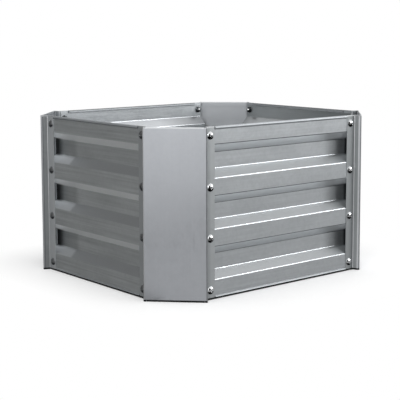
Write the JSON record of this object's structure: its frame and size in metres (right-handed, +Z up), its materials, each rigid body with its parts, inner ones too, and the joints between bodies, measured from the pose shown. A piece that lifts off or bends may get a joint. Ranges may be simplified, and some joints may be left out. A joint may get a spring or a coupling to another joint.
{
  "type": "raised garden bed",
  "caption": "Open rectangular raised garden bed of fluted galvanised steel side panels, bolted to bent corner pieces with flat angled faces.",
  "frame": {"origin": "centre of the bed's footprint, on the ground", "axes": "+X along the long sides, +Y from the front to the back along the short sides, +Z up"},
  "size_m": [0.538, 0.478, 0.3],
  "materials": {
    "panel_sheet": "satin galvanised sheet, fine rolling lines along the panel",
    "corner_sheet": "satin galvanised sheet, fine rolling lines up the corner",
    "bolts": "bright zinc plated, polished domes",
    "nuts": "bright zinc plated"
  },
  "bodies": {
    "root": {"front_panel": "panel_sheet", "right_panel": "panel_sheet", "back_panel": "panel_sheet", "left_panel": "panel_sheet", "front_left_corner": "corner_sheet", "front_right_corner": "corner_sheet", "back_right_corner": "corner_sheet", "back_left_corner": "corner_sheet", "front_panel_left_bolts": "bolts", "front_panel_right_bolts": "bolts", "right_panel_front_bolts": "bolts", "right_panel_back_bolts": "bolts", "back_panel_right_bolts": "bolts", "back_panel_left_bolts": "bolts", "left_panel_back_bolts": "bolts", "left_panel_front_bolts": "bolts", "front_panel_left_nuts": "nuts", "front_panel_right_nuts": "nuts", "right_panel_front_nuts": "nuts", "right_panel_back_nuts": "nuts", "back_panel_right_nuts": "nuts", "back_panel_left_nuts": "nuts", "left_panel_back_nuts": "nuts", "left_panel_front_nuts": "nuts"}
  },
  "joints": []
}
